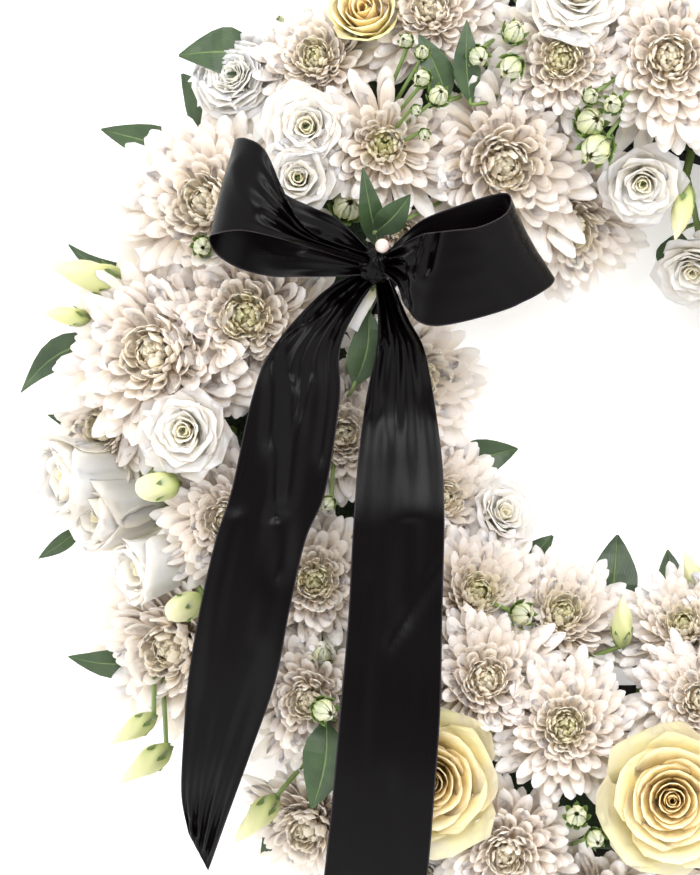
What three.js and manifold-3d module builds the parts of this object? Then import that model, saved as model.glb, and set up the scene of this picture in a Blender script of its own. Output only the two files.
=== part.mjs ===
// A round funeral wreath lying on its foam tray: white chrysanthemums, lisianthus, roses and
// carnations on cut stems in wet floral foam, with a black satin bow pinned across it.
// Millimetres, +Z up, the ring's axis on Z and the tray's flat underside at Z = 0.
import * as THREE from "three";
import { mergeVertices } from "three/addons/utils/BufferGeometryUtils.js";
import Module from "manifold-3d";

const wasm = await Module();
wasm.setup();

// Driving dimensions
const ringRadius = 180;          // middle of the foam ring
const foamWidth = 79;            // foam, from the inner wall to the outer wall
const foamTop = 50;              // height of the foam above the table
const trayWall = 2;
const trayHeight = 22;
const clearance = 0.35;          // between pieces that touch
const crownHeight = 95;          // centre of the blooms that stand highest
const crownReach = 85;           // how far the blooms spread to each side of the ring
const rimHeight = 25;            // centre of the round section that the blooms follow
const facing = 0.75;             // share of the section's slope that a bloom is turned by
const stemRadius = 2.2;
const leafStalk = 0.2;           // share of a leaf that its stalk runs under
const ribbonThickness = 1.4;     // the folded satin with the air between its layers
const pearlDiameter = 7.2;

// Colours and finishes
const finish = (color, roughness) => new THREE.MeshStandardMaterial({ color, roughness, metalness: 0 });
const finishes = {
  chrysanthemum: finish("#f2ebe2", 0.7),
  rose: finish("#f3ebc4", 0.6),
  lisianthus: finish("#f4efe6", 0.6),
  carnation: finish("#f5f1ea", 0.7),
  greenery: finish("#41602f", 0.55),
  satin: finish("#17141a", 0.4),
  foam: finish("#1d2a20", 0.95),
  tray: finish("#111111", 0.45),
  pearl: finish("#efe2dc", 0.25),
};

// Half outlines of the flower heads, [radius, height] for a head of radius 1, bottom to top
const outlines = {
  chrysanthemum: [[0, -0.42], [1, 0], [0.74, 0.36], [0, 0.46]],
  rose: [[0, -0.66], [0.95, 0], [0.8, 0.5], [0, 0.6]],
  lisianthus: [[0, -0.85], [0.85, -0.05], [0.9, 0.35], [0, 0.45]],
  carnation: [[0, -0.95], [0.5, -0.3], [1, 0.2], [0, 0.55]],
  roundBud: [[0, -0.9], [1, -0.1], [0.7, 0.7], [0, 0.95]],
  longBud: [[0, -1.4], [1, -0.4], [0.7, 1.2], [0, 2.1]],
};

// Every cut stem. Blooms, round and long buds are [angle in degrees, reach from the ring's axis,
// width]; leaves are [angle and reach of the base, angle and reach of the tip, width].
const stems = [
  // upper left, beside and above the bow
  { kind: "chrysanthemum", blooms: [[153, 238, 80], [165, 199, 72]], buds: [[158, 232, 12]] },
  { kind: "carnation", blooms: [[139, 258, 46]], leaves: [[135, 262, 141, 293, 25]] },
  { kind: "lisianthus", blooms: [[138, 217, 42], [144, 205, 38]] },
  { kind: "chrysanthemum", blooms: [[131, 240, 55], [132, 185, 60], [141, 150, 34]],
    buds: [[143, 178, 20], [131, 262, 17]], leaves: [[146, 152, 137, 184, 13]] },
  { kind: "rose", blooms: [[123, 240, 38]] },
  // top
  { kind: "chrysanthemum", blooms: [[116, 228, 58], [101, 184, 60], [93, 252, 66], [107, 256, 56]],
    buds: [[109, 186, 15], [107, 202, 14], [113, 197, 13]], leaves: [[120, 184, 119, 220, 16]] },
  { kind: "chrysanthemum", blooms: [[116.5, 144, 80], [107, 104, 64]],
    buds: [[98, 150, 19], [96, 138, 14]] },
  { kind: "lisianthus", blooms: [[97, 214, 52]], leaves: [[117, 177, 112.5, 216, 14]] },
  { kind: "chrysanthemum", blooms: [[84, 182, 74], [77, 248, 66]] },
  { kind: "lisianthus", blooms: [[87, 122, 38], [66, 88, 38]], longBuds: [[76, 112, 13]] },
  // left
  { kind: "chrysanthemum", blooms: [[172, 240, 86], [181, 264, 50]] },
  { kind: "chrysanthemum", blooms: [[170, 114, 66], [183, 146, 56]] },
  { kind: "lisianthus", blooms: [[181.5, 222, 42]], longBuds: [[165, 277, 18], [169.5, 286, 11]] },
  { kind: "lisianthus", blooms: [[186, 276, 44], [190, 262, 42], [197, 250, 36]],
    buds: [[188, 237, 16], [202.8, 240, 15]], longBuds: [[212, 292, 12], [215.5, 296, 14]] },
  { kind: "chrysanthemum", blooms: [[194, 208, 62], [207, 178, 58]] },
  { kind: "chrysanthemum", blooms: [[206.5, 256, 80]] },
  { kind: "chrysanthemum", blooms: [[203, 106, 62], [229, 118, 60]], buds: [[241, 112, 15]] },
  { kind: "lisianthus", blooms: [[217, 84, 32]] },
  // lower left, between and beside the ribbon's tails
  { kind: "chrysanthemum", blooms: [[221, 214, 58], [232, 262, 58]], buds: [[217, 194, 14]],
    longBuds: [[227, 272, 14]] },
  { kind: "chrysanthemum", blooms: [[241, 150, 62], [251, 106, 58], [258, 158, 58]],
    buds: [[229, 160, 14], [232, 172, 15]], longBuds: [[268, 106, 12]] },
  { kind: "rose", blooms: [[241, 205, 76]] },
  { kind: "lisianthus", blooms: [[245.5, 250, 38]] },
  { kind: "chrysanthemum", blooms: [[254, 226, 60], [267, 250, 62]],
    buds: [[262, 200, 14], [265, 210, 12]] },
  // bottom
  { kind: "rose", blooms: [[276, 190, 76]] },
  { kind: "chrysanthemum", blooms: [[285, 109, 54], [284, 146, 56], [305, 112, 60]],
    longBuds: [[293, 92, 13]] },
  { kind: "chrysanthemum", blooms: [[283, 250, 68], [299, 248, 70], [299, 182, 78]] },
  { kind: "lisianthus", blooms: [[315, 170, 44], [314, 208, 40]] },
  { kind: "chrysanthemum", blooms: [[331, 184, 80], [327, 110, 64], [344, 108, 62]],
    buds: [[318, 140, 16]] },
  { kind: "chrysanthemum", blooms: [[315, 250, 66], [330, 250, 76]] },
  // right
  { kind: "rose", blooms: [[-8, 190, 76]] },
  { kind: "lisianthus", blooms: [[-16, 150, 42]], longBuds: [[-7, 132, 13]] },
  { kind: "chrysanthemum", blooms: [[2, 110, 68], [13, 184, 78]], buds: [[24, 156, 17]] },
  { kind: "chrysanthemum", blooms: [[-14, 248, 70]], buds: [[5, 226, 17]] },
  { kind: "carnation", blooms: [[26, 112, 54]] },
  { kind: "lisianthus", blooms: [[1, 254, 52]] },
  { kind: "chrysanthemum", blooms: [[16, 248, 76]] },
  { kind: "chrysanthemum", blooms: [[35, 186, 78], [46, 248, 76]] },
  { kind: "lisianthus", blooms: [[31, 250, 48]] },
  { kind: "chrysanthemum", blooms: [[47, 112, 64], [56, 184, 68], [70, 186, 50]] },
  { kind: "rose", blooms: [[62, 240, 50]], leaves: [[68, 212, 70, 246, 18]] },
];

// Leafy sprigs under the blooms, the same way as a stem's leaves
const sprigs = [
  [[145, 250, 142, 288, 22], [148, 258, 151, 307, 18], [163, 250, 162.5, 299, 13]],
  [[171, 266, 177.4, 310, 18], [182, 276, 179.5, 296, 7]],
  [[191, 282, 193.3, 309, 9], [207, 268, 203, 310, 15]],
  [[228, 250, 230, 290, 24], [240, 262, 240, 296, 22], [256, 270, 258, 308, 22]],
  [[273, 270, 271, 308, 24], [290, 268, 290, 300, 20], [308, 262, 309, 300, 22]],
  [[322, 268, 322, 306, 20], [338, 268, 339, 306, 22], [356, 272, 357, 311, 22]],
  [[9, 268, 9, 306, 18], [24, 270, 24, 309, 22], [40, 268, 41, 304, 20]],
  [[73, 268, 74, 308, 22], [91, 272, 91, 308, 24], [108, 268, 108, 306, 20]],
  [[196, 96, 195, 57, 20], [236, 106, 238, 70, 20]],
  [[266, 100, 266, 59, 24], [280, 102, 288, 70, 18]],
  [[-42, 98, -42, 60, 20], [14, 98, 12, 60, 22]],
  [[74, 100, 71, 74, 20], [40, 92, 38, 62, 18]],
];

// The bow: the two edges of each ribbon piece, as [x, y, z] points from the knot outwards
const knotCentre = [-128, 77, 127];
const knotSize = [17, 20, 15];
const pinHead = [-125, 86, 137];
const ribbonEdges = {
  bow_loop_left: [
    [[-132, 85, 122], [-146, 99, 118], [-160, 106, 114], [-174, 113, 113], [-188, 127, 116],
      [-196, 137, 123], [-198, 139, 133], [-192, 139, 142], [-183, 133, 148], [-174, 114, 149],
      [-161, 93, 145], [-133, 82, 131]],
    [[-131, 72, 123], [-150, 71, 120], [-165, 71, 118], [-180, 71, 118], [-196, 75, 118],
      [-207, 82, 124], [-211, 90, 134], [-206, 92, 144], [-194, 93, 151], [-178, 90, 152],
      [-162, 86, 147], [-131, 77, 131]],
  ],
  bow_loop_right: [
    [[-122, 83, 125], [-107, 98, 124], [-88, 106, 124], [-69, 112, 128], [-62, 111, 136],
      [-64, 102, 148], [-77, 95, 156], [-93, 93, 157], [-106, 91, 151], [-115, 86, 141], [-123, 81, 132]],
    [[-122, 74, 122], [-106, 60, 115], [-82, 56, 113], [-56, 64, 115], [-41, 71, 121],
      [-43, 65, 134], [-64, 54, 145], [-99, 46, 149], [-113, 54, 146], [-117, 66, 139], [-123, 73, 131]],
  ],
  ribbon_tail_left: [
    [[-134, 74, 120], [-155, 63, 118], [-180, 35, 121], [-190, 10, 122], [-200, -35, 121],
      [-208, -60, 120], [-216, -95, 115], [-222, -130, 106], [-225, -165, 92], [-226, -190, 74],
      [-223, -209, 60]],
    [[-126, 72, 120], [-138, 54, 120], [-146, 35, 122], [-146, 10, 123], [-153, -35, 122],
      [-163, -60, 121], [-171, -95, 118], [-178, -130, 112], [-190, -165, 98], [-202, -198, 74],
      [-213, -229, 50]],
  ],
  ribbon_tail_right: [
    [[-129, 73, 119], [-127, 50, 117], [-128, 35, 113], [-133, 10, 110], [-137, -20, 114.5],
      [-139, -47, 118.5], [-140, -62, 119], [-142, -100, 119], [-146, -145, 119], [-150, -190, 109],
      [-154, -228, 88], [-157, -250, 70]],
    [[-122, 73, 119], [-112, 50, 118], [-104, 35, 113], [-99, 10, 109], [-95, -20, 113.5],
      [-94, -44, 118.5], [-94, -60, 119], [-95, -100, 118], [-96, -145, 118], [-99, -190, 112],
      [-102, -228, 94], [-106, -262, 66]],
  ],
};

// ---- solids ----

function toSolid(geometry) {
  const bare = geometry.index ? geometry.clone() : mergeVertices(geometry);
  bare.deleteAttribute("normal");
  bare.deleteAttribute("uv");
  const merged = mergeVertices(bare, 1e-4);
  const corners = merged.index.array;
  const triangles = [];
  for (let i = 0; i < corners.length; i += 3) {
    const [a, b, c] = [corners[i], corners[i + 1], corners[i + 2]];
    if (a !== b && b !== c && c !== a) triangles.push(a, b, c);
  }
  return new wasm.Manifold(new wasm.Mesh({
    numProp: 3,
    vertProperties: Float32Array.from(merged.attributes.position.array),
    triVerts: Uint32Array.from(triangles),
  }));
}

function toMesh(name, solid, material) {
  const { vertProperties, triVerts } = solid.getMesh();
  const geometry = new THREE.BufferGeometry();
  geometry.setAttribute("position", new THREE.BufferAttribute(vertProperties, 3));
  geometry.setIndex(new THREE.BufferAttribute(triVerts, 1));
  geometry.computeVertexNormals();
  const mesh = new THREE.Mesh(geometry, material);
  mesh.name = name;
  return mesh;
}

const joined = (solids) => solids.reduce((whole, solid) => whole.add(solid));
const largest = (solid) => solid.decompose().sort((a, b) => b.volume() - a.volume())[0];

// ---- places round the ring ----

function onRing(angle, reach, height) {
  const turn = THREE.MathUtils.degToRad(angle);
  return new THREE.Vector3(reach * Math.cos(turn), reach * Math.sin(turn), height);
}

// The blooms follow a round section over the foam; slope is 0 on top and grows to each side.
function slopeAt(reach) {
  return Math.asin(THREE.MathUtils.clamp((reach - ringRadius) / crownReach, -0.97, 0.97));
}

const bloomCentre = (angle, reach) =>
  onRing(angle, reach, rimHeight + (crownHeight - rimHeight) * Math.cos(slopeAt(reach)));

function bloomDirection(angle, reach) {
  const tilt = slopeAt(reach) * facing;
  return onRing(angle, Math.sin(tilt), Math.cos(tilt));
}

// ---- flower heads, buds, stems and leaves ----

const headSides = 7;
const upward = new THREE.Vector3(0, 0, 1);

function head(kind, angle, reach, radius, sides = headSides) {
  const profile = outlines[kind].map(([r, h]) => new THREE.Vector2(r * radius, h * radius));
  const geometry = new THREE.LatheGeometry(profile, sides);
  geometry.rotateX(Math.PI / 2);
  geometry.applyQuaternion(new THREE.Quaternion().setFromUnitVectors(upward, bloomDirection(angle, reach)));
  geometry.translate(...bloomCentre(angle, reach));
  return toSolid(geometry);
}

// A bud that points outwards, away from the middle of the foam
function longBud(angle, reach, radius) {
  const profile = outlines.longBud.map(([r, h]) => new THREE.Vector2(r * radius, h * radius));
  const geometry = new THREE.LatheGeometry(profile, 5);
  geometry.rotateX(Math.PI / 2);
  const outwards = onRing(angle, Math.sign(reach - ringRadius) * 0.94, 0.34);
  geometry.applyQuaternion(new THREE.Quaternion().setFromUnitVectors(upward, outwards.normalize()));
  geometry.translate(...bloomCentre(angle, reach));
  return toSolid(geometry);
}

function rod(from, to, radius) {
  const geometry = new THREE.CylinderGeometry(radius, radius, from.distanceTo(to), 4);
  geometry.rotateX(Math.PI / 2);
  const direction = to.clone().sub(from).normalize();
  geometry.applyQuaternion(new THREE.Quaternion().setFromUnitVectors(upward, direction));
  geometry.translate(...from.clone().add(to).multiplyScalar(0.5));
  return toSolid(geometry);
}

const stemNode = (at, radius) => toSolid(new THREE.OctahedronGeometry(radius * 1.6).translate(...at));

// A blade pointed at both ends, four-sided in section, from its base to its tip
function leaf(base, tip, width, grow) {
  const length = base.distanceTo(tip);
  const geometry = new THREE.SphereGeometry(0.5, 4, 3);
  geometry.scale(width + 2 * grow, length + 2 * grow, 2.4 + 2 * grow);
  const along = tip.clone().sub(base).normalize();
  const across = new THREE.Vector3().crossVectors(along, upward).normalize();
  const face = new THREE.Vector3().crossVectors(across, along);
  geometry.applyMatrix4(new THREE.Matrix4().makeBasis(across, along, face));
  geometry.translate(...base.clone().add(tip).multiplyScalar(0.5));
  return toSolid(geometry);
}

// ---- neighbouring heads are pressed flat against each other, half way between them ----

const blooms = stems.flatMap((stem, index) => [
  ...stem.blooms.map(([angle, reach, width]) => ({ index, angle, reach, width, kind: stem.kind })),
  ...(stem.buds ?? []).map(([angle, reach, width]) => ({ index, angle, reach, width, kind: "roundBud" })),
]);
for (const bloom of blooms) {
  bloom.centre = bloomCentre(bloom.angle, bloom.reach);
  bloom.radius = bloom.width / 2;
}

function pressedHead(bloom, grow) {
  const isBud = bloom.kind === "roundBud";
  let solid = head(bloom.kind, bloom.angle, bloom.reach, bloom.radius + grow, isBud ? 5 : headSides);
  for (const other of blooms) {
    const gap = bloom.centre.distanceTo(other.centre);
    if (other.index === bloom.index || gap > bloom.radius + other.radius + 1) continue;
    const share = (gap ** 2 + bloom.radius ** 2 - other.radius ** 2) / (2 * gap);
    const away = other.centre.clone().sub(bloom.centre).normalize();
    const block = new THREE.BoxGeometry(200, 200, 200);
    block.translate(0, 0, 100 + share - clearance / 2);
    block.applyQuaternion(new THREE.Quaternion().setFromUnitVectors(upward, away));
    block.translate(...bloom.centre);
    solid = solid.subtract(toSolid(block));
  }
  return solid;
}

// ---- a whole stem: its foot in the foam, a fork, and a branch to each bloom, bud and leaf ----

function mean(values) {
  return values.reduce((sum, value) => sum + value, 0) / values.length;
}

function footOf(angle, reach) {
  const slope = slopeAt(reach);
  return {
    fork: onRing(angle, ringRadius + 58 * Math.sin(slope), rimHeight + 44 * Math.cos(slope)),
    foot: onRing(angle, ringRadius + 18 * Math.sin(slope), rimHeight + 6 * Math.cos(slope)),
  };
}

function stemSolid(stem, index, grow) {
  const { fork, foot } = footOf(
    mean(stem.blooms.map((bloom) => bloom[0])), mean(stem.blooms.map((bloom) => bloom[1])));
  const heads = blooms.filter((each) => each.index === index);
  const pieces = [rod(foot, fork, stemRadius + grow)];
  if (heads.length > 1) pieces.push(stemNode(fork, stemRadius + grow));
  for (const bloom of heads) {
    pieces.push(pressedHead(bloom, grow), rod(fork, bloom.centre, stemRadius * 0.8 + grow));
  }
  for (const [angle, reach, width] of stem.longBuds ?? []) {
    const middle = bloomCentre(angle, reach);
    pieces.push(longBud(angle, reach, width / 2 + grow), rod(fork, middle, stemRadius * 0.6 + grow));
  }
  for (const [baseAngle, baseReach, tipAngle, tipReach, width] of stem.leaves ?? []) {
    const base = onRing(baseAngle, baseReach, bloomCentre(baseAngle, baseReach).z + 8);
    const tip = onRing(tipAngle, tipReach, bloomCentre(tipAngle, tipReach).z + 20);
    pieces.push(leaf(base, tip, width, grow));
    pieces.push(rod(fork, base.lerp(tip, leafStalk), stemRadius * 0.6 + grow));
  }
  return joined(pieces);
}

function sprigSolid(leaves, grow) {
  const inside = leaves[0][3] < ringRadius;
  const angle = mean(leaves.map((each) => each[0]));
  const foot = onRing(angle, ringRadius + (inside ? -22 : 22), 32);
  const fork = onRing(angle, ringRadius + (inside ? -48 : 48), 30);
  const pieces = [rod(foot, fork, stemRadius + grow), stemNode(fork, stemRadius + grow)];
  for (const [baseAngle, baseReach, tipAngle, tipReach, width] of leaves) {
    const base = onRing(baseAngle, baseReach, 26);
    const tip = onRing(tipAngle, tipReach, 20);
    pieces.push(leaf(base, tip, width, grow));
    pieces.push(rod(fork, base.lerp(tip, leafStalk), stemRadius * 0.7 + grow));
  }
  return joined(pieces);
}

// ---- tray, foam, ribbon and pin ----

const foamInner = ringRadius - foamWidth / 2;
const foamOuter = ringRadius + foamWidth / 2;
const ringSides = 32;

function ringOf(outline) {
  const profile = [...outline, outline[0]].map(([radius, height]) => new THREE.Vector2(radius, height));
  return toSolid(new THREE.LatheGeometry(profile, ringSides).rotateX(Math.PI / 2));
}

function traySolid() {
  const inner = foamInner - clearance;
  const outer = foamOuter + clearance;
  return ringOf([
    [inner - trayWall, 0], [outer + trayWall, 0], [outer + trayWall, trayHeight], [outer, trayHeight],
    [outer, trayWall], [inner, trayWall], [inner, trayHeight], [inner - trayWall, trayHeight],
  ]);
}

function foamSolid() {
  const floor = trayWall + clearance;
  return ringOf([[foamInner, floor], [foamOuter, floor], [foamOuter, foamTop], [foamInner, foamTop]]);
}

// A strip lofted between its two edges, a box of one cell across bent onto them
function ribbonSolid([first, second], steps, grow) {
  const edges = [first, second].map((points) =>
    new THREE.CatmullRomCurve3(points.map((point) => new THREE.Vector3(...point))));
  const geometry = new THREE.BoxGeometry(1, 1, 1, 1, steps, 1);
  const corners = geometry.attributes.position;
  for (let i = 0; i < corners.count; i += 1) {
    const share = corners.getY(i) + 0.5;
    const [left, right] = edges.map((edge) => edge.getPoint(share));
    const middle = left.clone().add(right).multiplyScalar(0.5);
    const across = right.clone().sub(left);
    const along = edges[0].getTangent(share).add(edges[1].getTangent(share)).normalize();
    const face = new THREE.Vector3().crossVectors(across, along).normalize();
    middle.addScaledVector(across, corners.getX(i) * (1 + 2 * grow / across.length()));
    middle.addScaledVector(face, corners.getZ(i) * (ribbonThickness + 2 * grow));
    middle.addScaledVector(along, 2 * grow * corners.getY(i));
    corners.setXYZ(i, ...middle);
  }
  return toSolid(geometry);
}

function knotSolid(grow) {
  const geometry = new THREE.SphereGeometry(0.5, 8, 6);
  geometry.scale(...knotSize.map((size) => size + 2 * grow));
  return toSolid(geometry.translate(...knotCentre));
}

// The pearl-headed pin goes through the knot and down between the stems into the foam.
function pinSolid(grow) {
  const pearl = new THREE.SphereGeometry(pearlDiameter / 2 + grow, 10, 6).translate(...pinHead);
  const top = new THREE.Vector3(...pinHead);
  return toSolid(pearl).add(rod(new THREE.Vector3(pinHead[0] - 1, pinHead[1], 40), top, 0.6 + grow));
}

// ---- the wreath, each piece cut clear of those already in place ----

const wreath = new THREE.Group();
const placed = [];

function add(name, material, build) {
  const whole = build(0);
  const nearby = placed.filter((other) => touches(other, whole));
  const cut = nearby.reduce((rest, other) => rest.subtract(other), whole);
  wreath.add(toMesh(name, largest(cut), finishes[material]));
  placed.push(build(clearance));
}

function touches(a, b) {
  const [boxA, boxB] = [a.boundingBox(), b.boundingBox()];
  return [0, 1, 2].every((axis) => boxA.min[axis] < boxB.max[axis] && boxB.min[axis] < boxA.max[axis]);
}

wreath.add(toMesh("wreath_tray", traySolid(), finishes.tray));
placed.push(traySolid());

add("pearl_pin", "pearl", pinSolid);
add("bow_knot", "satin", knotSolid);
for (const [name, edges] of Object.entries(ribbonEdges)) {
  add(name, "satin", (grow) => ribbonSolid(edges, name.startsWith("bow") ? 16 : 14, grow));
}

const counts = {};
stems.forEach((stem, index) => {
  counts[stem.kind] = (counts[stem.kind] ?? 0) + 1;
  add(`${stem.kind}_${counts[stem.kind]}`, stem.kind, (grow) => stemSolid(stem, index, grow));
});
sprigs.forEach((leaves, index) => {
  add(`leaf_sprig_${index + 1}`, "greenery", (grow) => sprigSolid(leaves, grow));
});
add("floral_foam", "foam", foamSolid);

export default wreath;
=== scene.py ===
# A round funeral wreath lying on its tray, with a black satin bow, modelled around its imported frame.
import math
import random
import bmesh
import bpy
from mathutils import Matrix, Quaternion, Vector


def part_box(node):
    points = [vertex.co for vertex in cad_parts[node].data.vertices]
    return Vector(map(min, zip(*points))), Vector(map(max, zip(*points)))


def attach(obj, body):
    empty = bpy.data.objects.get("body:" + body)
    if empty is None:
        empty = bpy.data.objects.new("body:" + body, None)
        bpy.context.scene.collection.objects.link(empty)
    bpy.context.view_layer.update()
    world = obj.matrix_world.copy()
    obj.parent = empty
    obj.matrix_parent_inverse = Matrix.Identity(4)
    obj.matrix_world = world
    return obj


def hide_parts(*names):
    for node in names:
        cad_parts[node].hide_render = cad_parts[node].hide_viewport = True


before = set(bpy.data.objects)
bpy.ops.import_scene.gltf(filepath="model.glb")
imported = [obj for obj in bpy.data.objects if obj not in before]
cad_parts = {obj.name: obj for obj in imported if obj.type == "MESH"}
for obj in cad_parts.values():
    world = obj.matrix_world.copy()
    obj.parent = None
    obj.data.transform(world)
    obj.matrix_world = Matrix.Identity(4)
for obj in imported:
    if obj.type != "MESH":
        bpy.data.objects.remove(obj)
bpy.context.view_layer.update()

mm = 0.001
goldenAngle = math.radians(137.508)
foamLow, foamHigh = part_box("floral_foam")
ringMiddle = (foamLow + foamHigh) / 2
ringMiddle.z = 0
up = Vector((0, 0, 1))


def note(words):
    print("wreath:", words)


# ---- the stems, as they were pushed into the foam ----
# A bloom is (angle in degrees, reach from the ring's middle, width, form), a bud (angle, reach, width)
# and a leaf (angle and reach of its base, angle and reach of its tip, width), in millimetres.

wreathPlan = {
    "ringRadius": 180,
    "crownHeight": 95,      # middle of the blooms that stand highest
    "crownReach": 85,       # how far the blooms spread to each side of the ring
    "rimHeight": 25,
    "facing": 0.5,         # share of the slope that a bloom is turned by
}

stems = {
    # upper left, beside and above the bow
    "chrysanthemum_1": {"blooms": [(153, 238, 80, "full"), (165, 199, 72, "open")], "buds": [(158, 232, 12)]},
    "carnation_1": {"blooms": [(139, 258, 46, "carnation")], "leaves": [(135, 262, 141, 293, 25)]},
    "lisianthus_1": {"blooms": [(138, 217, 42, "lisianthus"), (144, 205, 38, "lisianthus")]},
    "chrysanthemum_2": {"blooms": [(131, 240, 55, "open"), (132, 185, 60, "upright"), (141, 150, 34, "half")],
                        "buds": [(143, 178, 20), (131, 262, 17)], "leaves": [(146, 152, 137, 184, 13)]},
    "rose_1": {"blooms": [(123, 240, 38, "rosebud")]},
    # top
    "chrysanthemum_3": {"blooms": [(116, 228, 58, "full"), (101, 184, 60, "open"), (93, 252, 66, "full"),
                                   (107, 256, 56, "open")],
                        "buds": [(109, 186, 15), (107, 202, 14), (113, 197, 13)],
                        "leaves": [(120, 184, 119, 220, 16)]},
    "chrysanthemum_4": {"blooms": [(116.5, 144, 80, "full"), (107, 104, 64, "open")],
                        "buds": [(98, 150, 19), (96, 138, 14)]},
    "lisianthus_2": {"blooms": [(97, 214, 52, "lisianthus")], "leaves": [(117, 177, 112.5, 216, 14)]},
    "chrysanthemum_5": {"blooms": [(84, 182, 74, "full"), (77, 248, 66, "full")]},
    "lisianthus_3": {"blooms": [(87, 122, 38, "lisianthus"), (66, 88, 38, "lisianthus")],
                     "longBuds": [(76, 112, 13)]},
    # left
    "chrysanthemum_6": {"blooms": [(172, 240, 86, "full"), (181, 264, 50, "open")]},
    "chrysanthemum_7": {"blooms": [(170, 114, 66, "open"), (183, 146, 56, "full")]},
    "lisianthus_4": {"blooms": [(181.5, 222, 42, "lisianthus")],
                     "longBuds": [(165, 277, 18), (169.5, 286, 11)]},
    "lisianthus_5": {"blooms": [(186, 276, 44, "cup"), (190, 262, 42, "cup"), (197, 250, 36, "cup")],
                     "barrelBuds": [(188, 237, 16), (202.8, 240, 15)],
                     "longBuds": [(212, 292, 12), (215.5, 296, 14)]},
    "chrysanthemum_8": {"blooms": [(194, 208, 62, "full"), (207, 178, 58, "open")]},
    "chrysanthemum_9": {"blooms": [(206.5, 256, 80, "full")]},
    "chrysanthemum_10": {"blooms": [(203, 106, 62, "full"), (229, 118, 60, "open")],
                         "buds": [(241, 112, 15)]},
    "lisianthus_6": {"blooms": [(217, 84, 32, "lisianthus")]},
    # lower left, between and beside the ribbon's tails
    "chrysanthemum_11": {"blooms": [(221, 214, 58, "full"), (232, 262, 58, "full")], "buds": [(217, 194, 14)],
                         "longBuds": [(227, 272, 14)]},
    "chrysanthemum_12": {"blooms": [(241, 150, 62, "full"), (251, 106, 58, "open"), (258, 158, 58, "open")],
                         "buds": [(229, 160, 14), (232, 172, 15)], "longBuds": [(268, 106, 12)]},
    "rose_2": {"blooms": [(241, 205, 76, "rose")]},
    "lisianthus_7": {"blooms": [(245.5, 250, 38, "lisianthus")]},
    "chrysanthemum_13": {"blooms": [(254, 226, 60, "full"), (267, 250, 62, "full")],
                         "buds": [(262, 200, 14), (265, 210, 12)]},
    # bottom
    "rose_3": {"blooms": [(276, 190, 76, "rose")]},
    "chrysanthemum_14": {"blooms": [(285, 109, 54, "open"), (284, 146, 56, "full"), (305, 112, 60, "full")],
                         "longBuds": [(293, 92, 13)]},
    "chrysanthemum_15": {"blooms": [(283, 250, 68, "full"), (299, 248, 70, "open"), (299, 182, 78, "full")]},
    "lisianthus_8": {"blooms": [(315, 170, 44, "lisianthus"), (314, 208, 40, "lisianthus")]},
    "chrysanthemum_16": {"blooms": [(331, 184, 80, "full"), (327, 110, 64, "open"), (344, 108, 62, "full")],
                         "buds": [(318, 140, 16)]},
    "chrysanthemum_17": {"blooms": [(315, 250, 66, "open"), (330, 250, 76, "full")]},
    # right
    "rose_4": {"blooms": [(-8, 190, 76, "rose")]},
    "lisianthus_9": {"blooms": [(-16, 150, 42, "lisianthus")], "longBuds": [(-7, 132, 13)]},
    "chrysanthemum_18": {"blooms": [(2, 110, 68, "open"), (13, 184, 78, "full")], "buds": [(24, 156, 17)]},
    "chrysanthemum_19": {"blooms": [(-14, 248, 70, "open")], "buds": [(5, 226, 17)]},
    "carnation_2": {"blooms": [(26, 112, 54, "carnation")]},
    "lisianthus_10": {"blooms": [(1, 254, 52, "lisianthus")]},
    "chrysanthemum_20": {"blooms": [(16, 248, 76, "full")]},
    "chrysanthemum_21": {"blooms": [(35, 186, 78, "open"), (46, 248, 76, "full")]},
    "lisianthus_11": {"blooms": [(31, 250, 48, "lisianthus")]},
    "chrysanthemum_22": {"blooms": [(47, 112, 64, "open"), (56, 184, 68, "full"), (70, 186, 50, "open")]},
    "rose_5": {"blooms": [(62, 240, 50, "rose")], "leaves": [(68, 212, 70, 246, 18)]},
}

# What stands between the blooms of a stem, in millimetres from the ring's middle: a bud is (place, width),
# a leaf or a loose petal (base, tip, width).
between = {
    "chrysanthemum_2": {"buds": [((-97, 161, 122), 13), ((-105, 170, 118), 11), ((-105, 183, 114), 9),
                                 ((-113, 189, 110), 9), ((-108, 154, 121), 6.5), ((-104, 142, 119), 7)]},
    "chrysanthemum_5": {"buds": [((-10, 157, 118), 12), ((-21, 161, 116), 10), ((-18, 135, 110), 20)]},
    "chrysanthemum_7": {"leaves": [((-139, 17, 99), (-132, 56, 105), 19)],
                        "petals": [((-129, 66, 112), (-141, 46, 111), 10)],
                        "buds": [((-121, -42, 108), 11), ((-152, -42, 104), 9)]},
    "chrysanthemum_11": {"leaves": [((-153, -150, 98), (-160, -195, 98), 23)]},
    "chrysanthemum_12": {"buds": [((-154, -145, 112), 15)]},
    "chrysanthemum_4": {"leaves": [((-129, 93, 112), (-111, 112, 122), 15)]},
}

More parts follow.
